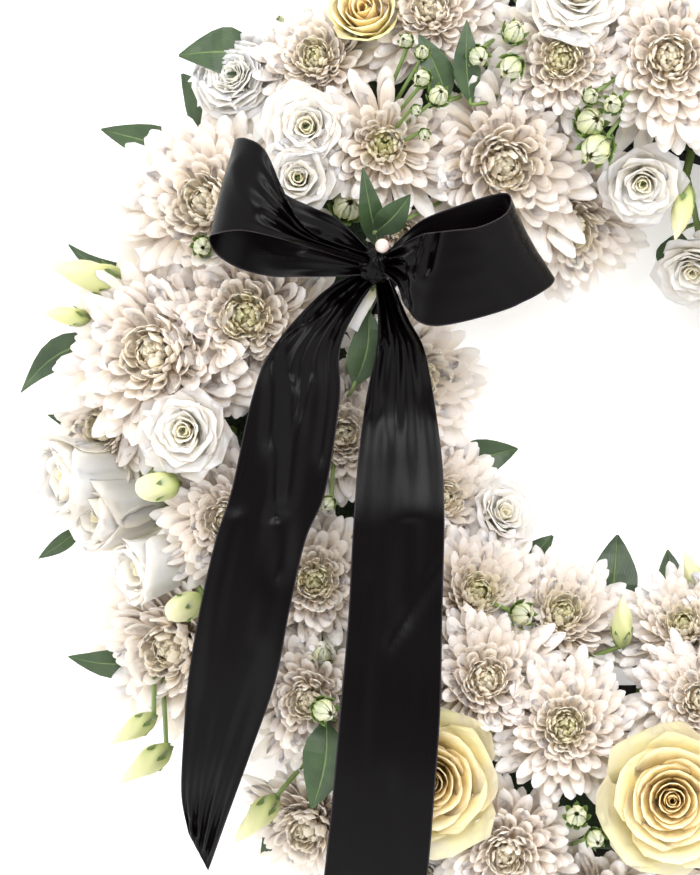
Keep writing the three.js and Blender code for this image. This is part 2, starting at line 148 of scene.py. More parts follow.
sprigs = [
    [(145, 250, 142, 288, 22), (148, 258, 151, 307, 18), (163, 250, 162.5, 299, 13)],
    [(171, 266, 177.4, 310, 18), (182, 276, 179.5, 296, 7)],
    [(191, 282, 193.3, 309, 9), (207, 268, 203, 310, 15)],
    [(228, 250, 230, 290, 24), (240, 262, 240, 296, 22), (256, 270, 258, 308, 22)],
    [(273, 270, 271, 308, 24), (290, 268, 290, 300, 20), (308, 262, 309, 300, 22)],
    [(322, 268, 322, 306, 20), (338, 268, 339, 306, 22), (356, 272, 357, 311, 22)],
    [(9, 268, 9, 306, 18), (24, 270, 24, 309, 22), (40, 268, 41, 304, 20)],
    [(73, 268, 74, 308, 22), (91, 272, 91, 308, 24), (108, 268, 108, 306, 20)],
    [(196, 96, 195, 57, 20), (236, 106, 238, 70, 20)],
    [(266, 100, 266, 59, 24), (280, 102, 288, 70, 18)],
    [(-42, 98, -42, 60, 20), (14, 98, 12, 60, 22)],
    [(74, 100, 71, 74, 20), (40, 92, 38, 62, 18)],
]


def onRing(angle, reach, height=0):
    turn = math.radians(angle)
    return ringMiddle + Vector((reach * math.cos(turn), reach * math.sin(turn), height)) * mm


def slopeAt(reach):
    share = (reach - wreathPlan["ringRadius"]) / wreathPlan["crownReach"]
    return math.asin(max(-0.97, min(0.97, share)))


def bloomPlace(angle, reach):
    low, high = wreathPlan["rimHeight"], wreathPlan["crownHeight"]
    return onRing(angle, reach, low + (high - low) * math.cos(slopeAt(reach)))


def bloomFacing(angle, reach):
    tilt = slopeAt(reach) * wreathPlan["facing"]
    outwards = (onRing(angle, math.sin(tilt)) - ringMiddle).normalized()
    return outwards * abs(math.sin(tilt)) + up * math.cos(tilt)


# ---- working with the modelling tools ----

def deselectAll():
    if bpy.context.object and bpy.context.object.mode != "OBJECT":
        bpy.ops.object.mode_set(mode="OBJECT")
    bpy.ops.object.select_all(action="DESELECT")


def makeActive(piece):
    deselectAll()
    piece.select_set(True)
    bpy.context.view_layer.objects.active = piece


def joinAll(pieces, name):
    deselectAll()
    for piece in pieces:
        piece.select_set(True)
    bpy.context.view_layer.objects.active = pieces[0]
    if len(pieces) > 1:
        bpy.ops.object.join()
    whole = bpy.context.view_layer.objects.active
    whole.name = name
    return whole


def copyOf(piece, name, place=None):
    twin = piece.copy()
    twin.data = piece.data.copy()
    twin.name = name
    bpy.context.scene.collection.objects.link(twin)
    if place is not None:
        twin.data.transform(place)
    return twin


def smooth(piece, degrees=60):
    makeActive(piece)
    bpy.ops.object.shade_smooth_by_angle(angle=math.radians(degrees))


def remove(*pieces):
    for piece in pieces:
        bpy.data.objects.remove(piece, do_unlink=True)


# A closed thin blade along +Y, one metre long and wide: a flattened ring of points, extruded in steps.
# Its layers hold v, the share of its length, and u, the share of its width.
def bladeBlank(name, widths, corners=4, thickness=0.02):
    deselectAll()
    bpy.ops.mesh.primitive_circle_add(vertices=corners, radius=0.5, fill_type="NGON",
                                      rotation=(math.pi / 2, 0, 0))
    blade = bpy.context.object
    blade.name = name
    bpy.ops.object.transform_apply(rotation=True)
    bpy.ops.object.mode_set(mode="EDIT")
    bpy.ops.mesh.select_all(action="SELECT")
    bpy.ops.transform.resize(value=(widths[0], 1, thickness), center_override=(0, 0, 0))
    step = 1 / (len(widths) - 1)
    for count in range(1, len(widths)):
        bpy.ops.mesh.extrude_region_move(TRANSFORM_OT_translate={"value": (0, step, 0)})
        bpy.ops.transform.resize(value=(widths[count] / widths[count - 1], 1, 1),
                                 center_override=(0, step * count, 0))
    bpy.ops.mesh.select_all(action="SELECT")
    bpy.ops.mesh.normals_make_consistent(inside=False)
    bpy.ops.object.mode_set(mode="OBJECT")
    mesh = blade.data
    layer = mesh.uv_layers.new(name="blade")
    for loop in mesh.loops:
        point = mesh.vertices[loop.vertex_index].co
        width = widths[min(len(widths) - 1, round(point.y / step))]
        layer.data[loop.index].uv = (0.5 + point.x / width, point.y)
    return blade


# Gives every point of a mesh the same three shares: nearness to the heart, a chance value, warmth.
def tint(mesh, heart, chance, warmth):
    layer = mesh.attributes.get("tint") or mesh.attributes.new("tint", "FLOAT_COLOR", "POINT")
    layer.data.foreach_set("color", (heart, chance, warmth, 1) * len(mesh.vertices))


# Bends a blade up by one angle at each step of its length, as a petal curls.
def curl(blade, bends, places):
    rows = [min(range(len(places)), key=lambda row: abs(places[row] - vertex.co.y))
            for vertex in blade.data.vertices]
    makeActive(blade)
    bpy.ops.object.mode_set(mode="EDIT")
    for row, bend in enumerate(bends):
        shape = bmesh.from_edit_mesh(blade.data)
        shape.verts.ensure_lookup_table()
        pivotRow = [vertex.co for vertex, at in zip(shape.verts, rows) if at == row]
        pivot = sum(pivotRow, Vector()) / len(pivotRow)
        for face in shape.faces:
            face.select = False
        for vertex, at in zip(shape.verts, rows):
            vertex.select = at > row
        shape.select_flush(True)
        bmesh.update_edit_mesh(blade.data)
        bpy.ops.transform.rotate(value=-bend, orient_axis="X", center_override=pivot)
    bpy.ops.object.mode_set(mode="OBJECT")


# ---- chrysanthemum ----

mum = {
    "radius": 40,               # the size that the heads are modelled at, in millimetres
    "petalWidths": (0.34, 0.58, 0.82, 0.98, 0.92, 0.58, 0.14),
    "petalPlaces": (0, 0.2, 0.42, 0.62, 0.8, 0.94, 1.0),   # where along the petal those widths are
    "cup": 0.42,                # depth of a petal's trough, as a share of its width
    # length, width and total curl of the petals from the heart outwards
    "petals": [(7, 2.4, 92), (9.5, 3.3, 88), (13.5, 4.5, 76), (19, 5.8, 60), (25, 6.9, 42), (31, 7.8, 26),
               (37, 8.2, 10)],
    # number of petals, steepness at the heart and at the rim, openness of the heart, greenness
    "forms": {
        "full": (262, 80, -8, 0.0, 0.0),
        "open": (224, 76, -6, 0.1, 0.7),
        "upright": (130, 78, 12, 0.3, 1.0),
        "half": (92, 84, 30, 0.2, 0.4),
    },
}


def mumPetals():
    blank = bladeBlank("petalBlank", mum["petalWidths"], 4, 0.03)
    steps = len(mum["petalWidths"]) - 1
    for vertex in blank.data.vertices:
        vertex.co.y = mum["petalPlaces"][round(vertex.co.y * steps)]
    for vertex in blank.data.vertices:     # the trough down the middle
        if abs(vertex.co.x) < 0.01:
            vertex.co.z -= mum["cup"] * 0.35 * math.sin(math.pi * min(1, 0.15 + vertex.co.y))
    petals = []
    for number, (length, width, turn) in enumerate(mum["petals"]):
        petal = copyOf(blank, f"mumPetal{number}")
        curl(petal, [math.radians(turn) / steps * (0.5 + row / (steps - 1)) for row in range(steps)],
             mum["petalPlaces"])
        petal.data.transform(Matrix.Diagonal((width * mm, length * mm, length * mm, 1)))
        petals.append(petal)
    remove(blank)
    return petals


def mumHead(form, petals):
    count, steepHeart, steepRim, openness, green = mum["forms"][form]
    chance = random.Random(count)
    copies = []
    for number in range(count):
        share = (number + 0.5) / count                   # 0 at the heart, 1 at the rim
        size = share ** 0.95 * (len(petals) - 1)
        petal = petals[min(len(petals) - 1, int(size + chance.uniform(0, 1)))]
        steep = steepHeart + (steepRim - steepHeart) * share ** 0.5 + chance.uniform(-9, 9)
        stretch = chance.uniform(0.88, 1.1)
        root = Vector((0, (0.8 + 5.5 * share + 5 * openness) * mm, (5 - 9 * share) * mm))
        place = (Matrix.Rotation(number * goldenAngle + chance.uniform(-0.12, 0.12), 4, "Z")
                 @ Matrix.Translation(root)
                 @ Matrix.Rotation(math.radians(steep), 4, "X")
                 @ Matrix.Rotation(chance.uniform(-0.25, 0.25), 4, "Y")
                 @ Matrix.Diagonal((chance.uniform(0.9, 1.2), stretch, stretch, 1)))
        copy = copyOf(petal, "petal", place)
        tint(copy.data, 1 - share, chance.random(), green)
        copies.append(copy)
    head = joinAll(copies, f"head_{form}")
    smooth(head, 80)
    return head


# ---- roses, lisianthus, carnations and buds: petals wrapped round the flower's axis ----

# A petal shape is given by the distance from the axis at its root and rim, its height, half the angle
# that it wraps, how far its rim rolls out, and its ruffles (depth and number of waves). The last value
# closes the petal over the top.
def wrapPetal(blank, root, rim, height, wrap, roll, ruffle, waves, closing, chance):
    petal = copyOf(blank, "petal")
    phase = chance.uniform(0, 6.28)
    lean = chance.uniform(-0.06, 0.06)
    widths = blank["widths"]
    for vertex in petal.data.vertices:
        x, v, z = vertex.co
        v = min(1, max(0, v))
        width = widths[min(len(widths) - 1, round(v * (len(widths) - 1)))]
        s = 2 * x / width
        turn = s * math.radians(wrap) * width
        out = root + (rim - root) * max(0, math.sin(v * math.pi / 2)) ** 0.8
        out += roll * max(0, v - 0.55) ** 2 * 4.9 - closing * rim * max(0, v - 0.45) ** 1.5 * 2.2
        out += 0.12 * roll * s ** 4
        wave = math.sin(waves * s * math.pi + phase)
        out += ruffle * wave * v ** 3 * (0.5 + 0.5 * abs(s))
        rise = height * (v - 0.30 * (roll / max(rim, 0.1)) * max(0, v - 0.7) ** 2 * 11)
        rise += ruffle * 0.6 * math.cos(waves * s * math.pi * 1.3 + phase) * v ** 3 + height * lean * s
        rise -= height * 0.07 * s * s * v
        out = max(out + z, 0.05)
        vertex.co = Vector((out * math.sin(turn), out * math.cos(turn), rise)) * mm
    return petal


# Petals from the heart outwards. The given ones are (root, rim, height, wrap, roll, ruffle, waves,
# closing), and those between them grow evenly from one to the next.
wrapped = {
    "rose": {
        "count": 34,
        "petals": [(0.5, 2.2, 21, 120, 0.0, 0.1, 1.0, 0.50), (1.0, 4.6, 23, 96, 0.2, 0.2, 1.0, 0.22),
                   (2.0, 8.5, 24.5, 80, 0.7, 0.3, 1.0, 0.08), (2.8, 13.0, 25, 74, 1.2, 0.4, 1.2, 0.02),
                   (3.4, 18.0, 24.5, 70, 2.2, 0.6, 1.2, 0), (4.0, 24.5, 22.5, 62, 4.2, 0.9, 1.3, 0),
                   (4.4, 31.5, 17, 56, 7.0, 1.3, 1.4, 0)],
        "radius": 38, "sink": 10, "uneven": 0.09,
    },
    "rosebud": {
        "count": 16,
        "petals": [(0.6, 3, 26, 130, 0, 0.1, 1, 0.5), (1.5, 6, 28, 100, 0.6, 0.2, 1, 0.3),
                   (3, 10.5, 30, 88, 1.2, 0.4, 1, 0.1), (4.5, 13.5, 29, 82, 2.6, 0.6, 1.2, 0)],
        "radius": 17, "sink": 16, "uneven": 0.05,
    },
    "lisianthus": {
        "count": 22,
        "petals": [(0.5, 2.2, 15, 130, 0.0, 0.2, 1.5, 0.30), (1.0, 5.0, 17.5, 96, 0.8, 0.5, 1.6, 0.05),
                   (1.6, 9.0, 19, 82, 2.0, 0.9, 1.7, 0), (2.0, 13.0, 18.5, 74, 3.6, 1.2, 1.8, 0),
                   (2.2, 17.0, 15, 66, 6.0, 1.5, 1.9, 0)],
        "radius": 21, "sink": 9, "uneven": 0.08,
    },
    "cup": {
        "count": 15,
        "petals": [(1.5, 3.0, 33, 120, 0.0, 0.3, 1.5, 0.15), (3.5, 7.5, 37, 104, 0.5, 0.6, 2.0, 0.0),
                   (7.0, 12.0, 40, 94, 1.0, 0.9, 2.5, 0), (9.5, 14.5, 39, 92, 2.2, 1.1, 2.5, 0)],
        "radius": 17, "sink": 22, "uneven": 0.06,
    },
    "carnation": {
        "count": 52,
        "petals": [(0.5, 3.0, 17, 90, 0.5, 1.0, 3, 0), (0.7, 6.0, 18, 74, 1.5, 1.4, 4, 0),
                   (0.8, 9.5, 18, 62, 2.6, 1.7, 4, 0), (1.0, 13.0, 16.5, 52, 4.0, 1.9, 4.5, 0),
                   (1.2, 16.5, 14, 46, 5.4, 2.0, 5, 0), (1.4, 19.5, 10.5, 42, 6.4, 2.0, 5, 0)],
        "radius": 25, "sink": 8, "uneven": 0.1,
    },
    "roundBud": {
        "count": 15,
        "petals": [(0.4, 3.2, 11, 46, 0, 0.2, 1, 0.75), (1.2, 5.6, 12.6, 36, 0, 0.2, 1, 0.92)],
        "radius": 6.4, "sink": 6, "uneven": 0.03,
    },
}


def wrappedHead(form, blank):
    plan = wrapped[form]
    chance = random.Random(len(form) * 7)
    copies = []
    for number in range(plan["count"]):
        share = number / (plan["count"] - 1)
        place = share * (len(plan["petals"]) - 1)
        start = min(int(place), len(plan["petals"]) - 2)
        near, far = plan["petals"][start], plan["petals"][start + 1]
        root, rim, height, *rest = (a + (b - a) * (place - start) for a, b in zip(near, far))
        uneven = plan["uneven"]
        petal = wrapPetal(blank, root, rim * chance.uniform(1 - uneven, 1 + uneven),
                          height * chance.uniform(1 - uneven, 1 + uneven / 2), *rest, chance)
        turn = number * goldenAngle + chance.uniform(-0.15, 0.15)
        petal.data.transform(Matrix.Translation((0, 0, -plan["sink"] * mm)) @ Matrix.Rotation(turn, 4, "Z"))
        tint(petal.data, 1 - share, chance.random(), 0)
        copies.append(petal)
    head = joinAll(copies, f"head_{form}")
    smooth(head, 80)
    return head


def petalBlankOf(name, widths, corners, thickness):
    blank = bladeBlank(name, widths, corners, thickness)
    blank["widths"] = widths
    return blank


# Narrow green sepals that hold a bud or a bloom from behind
def calyx(blank, count, root, rim, height, roll):
    chance = random.Random(count)
    copies = []
    for number in range(count):
        sepal = wrapPetal(blank, root, rim, height, 200 / count, roll, 0.2, 1, 0, chance)
        sepal.data.transform(Matrix.Rotation(number * 2 * math.pi / count, 4, "Z"))
        tint(sepal.data, 0, chance.random(), 0.2)
        copies.append(sepal)
    whole = joinAll(copies, "calyx")
    smooth(whole, 80)
    return whole


# A lisianthus bud: petals twisted round each other, to a point or to a blunt frilled tip
rolledBuds = {
    "longBud": {"radius": 6, "length": 29, "twist": 10.4, "folds": 4, "foldDepth": 0.11, "belly": 0.72,
                "blunt": 0.75, "taper": 0.3, "frill": 0},
    "barrelBud": {"radius": 6, "length": 17, "twist": 2.2, "folds": 5, "foldDepth": 0.06, "belly": 0.95,
                  "blunt": 0.36, "taper": 0.1, "frill": 0.16},
}


def rolledBudHead(name):
    plan = rolledBuds[name]
    deselectAll()
    bpy.ops.mesh.primitive_uv_sphere_add(segments=20, ring_count=14, radius=1)
    bud = bpy.context.object
    mesh = bud.data
    layer = mesh.uv_layers.get("blade") or mesh.uv_layers.new(name="blade")
    for loop in mesh.loops:
        layer.data[loop.index].uv = (0.5, 0.5 + 0.5 * mesh.vertices[loop.vertex_index].co.z)
    for old in [each for each in mesh.uv_layers if each.name != "blade"]:
        mesh.uv_layers.remove(old)
    for vertex in mesh.vertices:
        x, y, z = vertex.co
        v = 0.5 + 0.5 * z
        around = math.atan2(y, x)
        width = max(0, math.sin(math.pi * v ** plan["belly"])) ** plan["blunt"] * (1 - plan["taper"] * v)
        width *= 1 + plan["foldDepth"] * math.cos(plan["folds"] * around + plan["twist"] * v)
        width *= 1 + plan["frill"] * max(0, v - 0.8) * 5 * math.cos(9 * around)
        out = plan["radius"] * width
        vertex.co = Vector((out * math.cos(around), out * math.sin(around), plan["length"] * (v - 0.35))) * mm
    tint(mesh, 0, 0.5, 0.6)
    bud.name = "head_" + name
    smooth(bud, 60)
    return bud


# ---- leaves and stalks ----

leafPlan = {
    "widths": (0.06, 0.5, 0.84, 1.0, 0.98, 0.84, 0.62, 0.36, 0.05),
    "fold": 0.16,               # how far the halves stand up from the midrib, as a share of the width
    "arch": 0.10,
    "thickness": 0.5,
}
strapWidths = (0.5, 0.8, 0.95, 1.0, 1.0, 1.0, 0.98, 0.96, 0.94)


def leafBlade(blank, base, tip, width, lift, roll, chance, warmth=0):
    blade = copyOf(blank, "leaf")
    along = tip - base
    length = along.length
    along.normalize()
    across = along.cross(up).normalized()
    if roll:
        across = Quaternion(along, roll) @ across
    face = across.cross(along)
    bend = chance.uniform(-0.10, 0.10)
    ripple = chance.uniform(0, 6)
    widths = blank["widths"]
    for vertex in blade.data.vertices:
        x, v, z = vertex.co
        v = min(1, max(0, v))
        full = widths[min(len(widths) - 1, round(v * (len(widths) - 1)))]
        s = 2 * x / full
        height = leafPlan["fold"] * abs(x) * width + leafPlan["arch"] * length * math.sin(math.pi * v) * lift
        height += 0.035 * width * math.sin(v * 9 + ripple + (2 if s > 0 else 0)) * abs(s)
        height += z * leafPlan["thickness"] * mm / 0.04
        side = x * width + bend * length * math.sin(math.pi * v)
        vertex.co = base + along * (v * length) + across * side + face * height
    tint(blade.data, 0, chance.random(), warmth)
    return blade


def stalk(points, radius):      # through the given points, round, with closed ends
    line = bpy.data.curves.new("stalk", "CURVE")
    line.dimensions = "3D"
    spline = line.splines.new("BEZIER")
    spline.bezier_points.add(len(points) - 1)
    for knot, point in zip(spline.bezier_points, points):
        knot.co = point
        knot.handle_left_type = knot.handle_right_type = "AUTO"
    line.bevel_depth = radius * mm
    line.bevel_resolution = 1
    line.resolution_u = 5
    line.use_fill_caps = True
    piece = bpy.data.objects.new("stalk", line)
    bpy.context.scene.collection.objects.link(piece)
    makeActive(piece)
    bpy.ops.object.convert(target="MESH")
    piece = bpy.context.object
    mesh = piece.data
    mesh.uv_layers.new(name="blade")
    tint(mesh, 0, 0.5, 0.45)
    smooth(piece, 60)
    return piece


# ---- satin bow ----

bow = {
    "columns": 26, "rows": 120,
    "thickness": 0.34,
    "ribbonWidth": 50,
    "pleats": 4,                # where the knot gathers the ribbon, it stands in this many pleats
    "pleatDepth": 3.0,
    "press": 8,                 # how far the tails push the blooms under them down
    "knotMiddle": (-128, 77, 127),
    "knotSize": (17, 18, 15),
    "pinHead": (-125, 86, 137),
    "pearl": 7.2,
}

# The two edges of every length of ribbon, from the knot outwards and, for a loop, back to the knot.
# A fold is (share across and along of its start, the same of its end, half width, height) in
# millimetres; a negative height is a valley.
ribbons = {
    "bow_loop_left": {
        "edges": (
            [(-132, 85, 122), (-146, 99, 118), (-160, 106, 114), (-174, 113, 113), (-188, 127, 116),
             (-196, 137, 123), (-198, 139, 133), (-192, 139, 142), (-183, 133, 148), (-174, 114, 149),
             (-161, 93, 145), (-133, 82, 131)],
            [(-131, 72, 123), (-150, 71, 120), (-165, 71, 118), (-180, 71, 118), (-196, 75, 118),
             (-207, 82, 124), (-211, 90, 134), (-206, 92, 144), (-194, 93, 151), (-178, 90, 152),
             (-162, 86, 147), (-131, 77, 131)]),
        "folds": [(0.1, 0.80, 0.5, 1.0, 2.2, -2.6), (0.42, 0.82, 0.55, 1.0, 1.6, 1.8),
                  (0.7, 0.78, 0.72, 1.0, 2.2, -1.2), (0.3, 0.62, 0.9, 0.80, 5, 1.0),
                  (0.25, 0.0, 0.35, 0.14, 1.8, -1.6), (0.6, 0.0, 0.62, 0.18, 2.2, 1.5)],
        "crown": 1.4, "held": "folded",
    },
    "bow_loop_right": {
        "edges": (
            [(-122, 83, 125), (-107, 98, 124), (-88, 106, 124), (-69, 112, 128), (-62, 111, 136),
             (-64, 102, 148), (-77, 95, 156), (-93, 93, 157), (-106, 91, 151), (-115, 86, 141),
             (-123, 81, 132)],
            [(-122, 74, 122), (-106, 60, 115), (-82, 56, 113), (-56, 64, 115), (-41, 71, 121),
             (-43, 65, 134), (-64, 54, 145), (-99, 46, 149), (-113, 54, 146), (-117, 66, 139),
             (-123, 73, 131)]),
        "folds": [(-0.05, 0.735, 0.42, 0.74, 1.6, 2.6), (-0.05, 0.765, 0.5, 0.775, 2.6, -3.2),
                  (0.55, 0.60, 1.05, 0.56, 2.4, 1.0), (0.5, 0.86, 0.95, 0.80, 4.0, 2.2),
                  (0.25, 1.0, 0.35, 0.84, 2.0, -2.0), (0.62, 1.0, 0.7, 0.86, 2.0, 1.8),
                  (0.35, 0.0, 0.4, 0.2, 2.4, -1.6)],
        "crown": 1.0, "held": "folded",
    },
    "ribbon_tail_left": {
        "edges": (
            [(-134, 74, 120), (-155, 63, 118), (-180, 35, 121), (-190, 10, 122), (-200, -35, 121),
             (-208, -60, 120), (-216, -95, 115), (-222, -130, 106), (-225, -165, 92), (-226, -190, 74),
             (-223, -209, 60)],
            [(-126, 72, 120), (-138, 54, 120), (-146, 35, 122), (-146, 10, 123), (-153, -35, 122),
             (-163, -60, 121), (-171, -95, 118), (-178, -130, 112), (-190, -165, 98), (-202, -198, 74),
             (-213, -229, 50)]),
        "folds": [(0.9, 0.03, 0.1, 0.17, 2.4, 2.6), (0.7, 0.0, 0.3, 0.14, 2.6, -2.0),
                  (0.12, 0.22, 0.30, 0.34, 5.5, 3.2), (0.45, 0.16, 0.5, 0.27, 4.5, 2.0),
                  (0.42, 0.27, 0.48, 0.32, 2.0, -1.6), (0.62, 0.27, 0.60, 0.33, 2.4, -1.4),
                  (0.85, 0.16, 0.88, 0.36, 3.2, 1.8), (0.55, 0.34, 0.60, 0.42, 6.0, -2.2),
                  (0.42, 0.36, 0.56, 0.45, 4.0, 2.4), (0.60, 0.44, 0.80, 0.54, 8.0, 2.4),
                  (0.1, 0.46, 0.25, 0.72, 7.0, -1.2), (0.7, 0.66, 0.45, 0.92, 5.0, 0.8),
                  (0.15, 0.95, 0.9, 1.0, 2.5, 1.0)],
        "crown": 1.0, "held": "draped",
    },
    "ribbon_tail_right": {
        "edges": (
            [(-129, 73, 119), (-127, 50, 117), (-128, 35, 113), (-133, 10, 110), (-137, -20, 114.5),
             (-139, -47, 118.5), (-140, -62, 119), (-142, -100, 119), (-146, -145, 119), (-150, -190, 109),
             (-154, -228, 88), (-157, -250, 70)],
            [(-122, 73, 119), (-112, 50, 118), (-104, 35, 113), (-99, 10, 109), (-95, -20, 113.5),
             (-94, -44, 118.5), (-94, -60, 119), (-95, -100, 118), (-96, -145, 118), (-99, -190, 112),
             (-102, -228, 94), (-106, -262, 66)]),
        "folds": [(0.35, 0.0, 0.1, 0.17, 3.0, 2.6), (0.8, 0.0, 0.88, 0.2, 2.2, -1.4),
                  (0.0, 0.20, 0.12, 0.28, 5.0, -2.4), (0.85, 0.20, 1.0, 0.28, 5.0, -1.8),
                  (0.35, 0.18, 0.4, 0.30, 7.0, 1.6), (0.62, 0.50, 0.6, 0.62, 7.0, 1.2),
                  (0.45, 0.66, 1.0, 0.575, 2.6, 1.0), (0.2, 0.60, 0.25, 0.9, 5.0, -0.6),
                  (0.5, 0.8, 0.8, 0.95, 5.0, 0.7)],
        "crown": 0.9, "held": "draped",
    },
}


# A point on a smooth line through the given points
def alongLine(points, share):
    place = min(max(share, 0), 1) * (len(points) - 1)
    start = min(int(place), len(points) - 2)
    t = place - start
    p0, p1, p2, p3 = (Vector(points[min(max(start + step, 0), len(points) - 1)]) for step in (-1, 0, 1, 2))
    return 0.5 * (2 * p1 + (p2 - p0) * t + (2 * p0 - 5 * p1 + 4 * p2 - p3) * t * t
                  + (3 * p1 - p0 - 3 * p2 + p3) * t ** 3)


def foldHeight(folds, u, v, width, length):
    height = 0
    here = Vector((u * width, v * length))
    for startU, startV, endU, endV, half, rise in folds:
        start, end = Vector((startU * width, startV * length)), Vector((endU * width, endV * length))
        line = end - start
        share = max(0, min(1, (here - start).dot(line) / line.length_squared))
        away = (here - start - line * share).length
        height += rise * math.exp(-(away / half) ** 2)
    return height


def ribbonSheet(name):
    plan = ribbons[name]
    first, second = plan["edges"]
    columns, rows = bow["columns"], bow["rows"]
    deselectAll()
    bpy.ops.mesh.primitive_grid_add(x_subdivisions=columns, y_subdivisions=rows, size=1)
    piece = bpy.context.object
    mesh = piece.data
    middles = [(alongLine(first, row / 40) + alongLine(second, row / 40)) / 2 for row in range(41)]
    length = sum((end - start).length for start, end in zip(middles, middles[1:]))
    flutter = random.Random(name)
    phases = [flutter.uniform(0, 6.28) for _ in range(4)]
    points = {}
    for vertex in mesh.vertices:
        u, v = vertex.co.x + 0.5, vertex.co.y + 0.5
        points[vertex.index] = (u, v)
        a, b = alongLine(first, v), alongLine(second, v)
        ahead = (alongLine(first, v + 0.01) + alongLine(second, v + 0.01)) / 2
        behind = (alongLine(first, v - 0.01) + alongLine(second, v - 0.01)) / 2
        across = (b - a).normalized()
        face = across.cross(ahead - behind).normalized()
        height = foldHeight(plan["folds"], u, v, bow["ribbonWidth"], length)
        gathered = max(0, 1 - (b - a).length / bow["ribbonWidth"])
        height += bow["pleatDepth"] * gathered ** 1.5 * math.cos(2 * math.pi * bow["pleats"] * u + phases[3])
        height += plan["crown"] * math.sin(math.pi * u) * math.sin(7 * v + phases[0])
        height += 0.35 * math.sin(2 * math.pi * u + phases[1]) * math.sin(23 * v + phases[2])
        height *= min(1, (1 - v if name.startswith("ribbon_tail") else 1) * 30)
        vertex.co = (a.lerp(b, u) + face * height) * mm
    layer = mesh.uv_layers.get("UVMap") or mesh.uv_layers.new(name="blade")
    layer.name = "blade"
    for loop in mesh.loops:
        layer.data[loop.index].uv = points[loop.vertex_index]
    wall = piece.modifiers.new("wall", "SOLIDIFY")
    wall.thickness = bow["thickness"] * mm
    wall.offset = 0
    makeActive(piece)
    bpy.ops.object.modifier_apply(modifier="wall")
    smooth(piece, 60)
    return piece, length * mm


def bowKnot():
    size, middle = bow["knotSize"], Vector(bow["knotMiddle"])
    deselectAll()
    bpy.ops.mesh.primitive_uv_sphere_add(segments=64, ring_count=40, radius=0.5)
    knot = bpy.context.object
    knot.data.uv_layers[0].name = "blade"
    for vertex in knot.data.vertices:
        x, y, z = vertex.co * 2
        around = math.atan2(z, y)
        fold = 0.11 * math.sin(5 * around + 3.2 * x + 0.6) + 0.07 * math.sin(9 * x - 4 * around + 1.1)
        fold += 0.05 * math.sin(14 * x + 3 * y * z)
        gather = 1 - 0.30 * abs(x) ** 3
        vertex.co = Vector((x * size[0] / 2, y * size[1] / 2 * gather, z * size[2] / 2 * gather)) * (1 + fold)
        vertex.co = (vertex.co + middle) * mm
    # the turns of ribbon that cross over it
    turns = [knot]
    for tilt, lean, wide, radius in ((18, 12, 3.4, 8.2), (-16, -8, 2.7, 8.6), (38, 20, 2.0, 8.0)):
        bpy.ops.mesh.primitive_torus_add(major_segments=72, minor_segments=18, major_radius=radius,
                                         minor_radius=1)
        turn = bpy.context.object
        turn.data.uv_layers[0].name = "blade"
        for vertex in turn.data.vertices:
            x, y, z = vertex.co
            around = math.atan2(y, x)
            out = math.hypot(x, y) - radius
            crease = 1 + 0.25 * math.sin(3 * around + tilt) + 0.12 * math.sin(11 * around)
            ripple = 0.22 * math.sin(4.0 * z + 2 * around)
            out = radius + (out * 1.1 + ripple)
            vertex.co = Vector((z * wide * crease, out * math.cos(around) * size[1] / 18,
                                out * math.sin(around) * 0.86))
        turn.data.transform(Matrix.Rotation(math.radians(tilt), 4, "Z")
                            @ Matrix.Rotation(math.radians(lean), 4, "Y"))
        turn.data.transform(Matrix.Scale(mm, 4) @ Matrix.Translation(middle))
        turns.append(turn)
    knot = joinAll(turns, "knot")
    smooth(knot, 60)
    return knot


def pearlPin():
    head = Vector(bow["pinHead"]) * mm
    deselectAll()
    bpy.ops.mesh.primitive_uv_sphere_add(segments=40, ring_count=24, radius=bow["pearl"] / 2 * mm,
                                         location=head)
    pearl = bpy.context.object
    bpy.ops.object.transform_apply()
    foot = Vector((head.x - mm, head.y, 0.04))
    middle, along = (head + foot) / 2, head - foot
    bpy.ops.mesh.primitive_cylinder_add(vertices=12, radius=0.45 * mm, depth=along.length, location=middle,
                                        rotation=along.to_track_quat("Z", "Y").to_euler())
    shaft = bpy.context.object
    bpy.ops.object.transform_apply()
    return pearl, shaft


# ---- foam ring and tray ----

base = {
    "foam": {"inner": 141.2, "outer": 218.6, "low": 2.4, "high": 49.6, "edge": 5},
    "tray": {"inner": 138, "outer": 222, "wall": 2, "high": 22, "lip": 2.2, "edge": 3},
    "steps": 144,
}


# Turns an outline of (reach, height) points once round the ring's axis.
def spunRing(name, outline):
    mesh = bpy.data.meshes.new(name)
    count = len(outline)
    mesh.from_pydata([(reach * mm, 0, height * mm) for reach, height in outline],
                     [(at, (at + 1) % count) for at in range(count)], [])
    piece = bpy.data.objects.new(name, mesh)
    bpy.context.scene.collection.objects.link(piece)
    makeActive(piece)
    bpy.ops.object.mode_set(mode="EDIT")
    bpy.ops.mesh.select_all(action="SELECT")
    bpy.ops.mesh.spin(steps=base["steps"], angle=2 * math.pi, center=(0, 0, 0), axis=(0, 0, 1))
    bpy.ops.mesh.select_all(action="SELECT")
    bpy.ops.mesh.remove_doubles(threshold=0.00002)
    bpy.ops.mesh.normals_make_consistent(inside=False)
    bpy.ops.object.mode_set(mode="OBJECT")
    piece.data.transform(Matrix.Translation(ringMiddle))
    smooth(piece, 40)
    return piece


def roundCorner(reach, height, edge, start, steps=5):
    turn = math.radians(90 / steps)
    begin = math.radians(start)
    return [(reach + edge * math.cos(begin + turn * step), height + edge * math.sin(begin + turn * step))
            for step in range(steps + 1)]


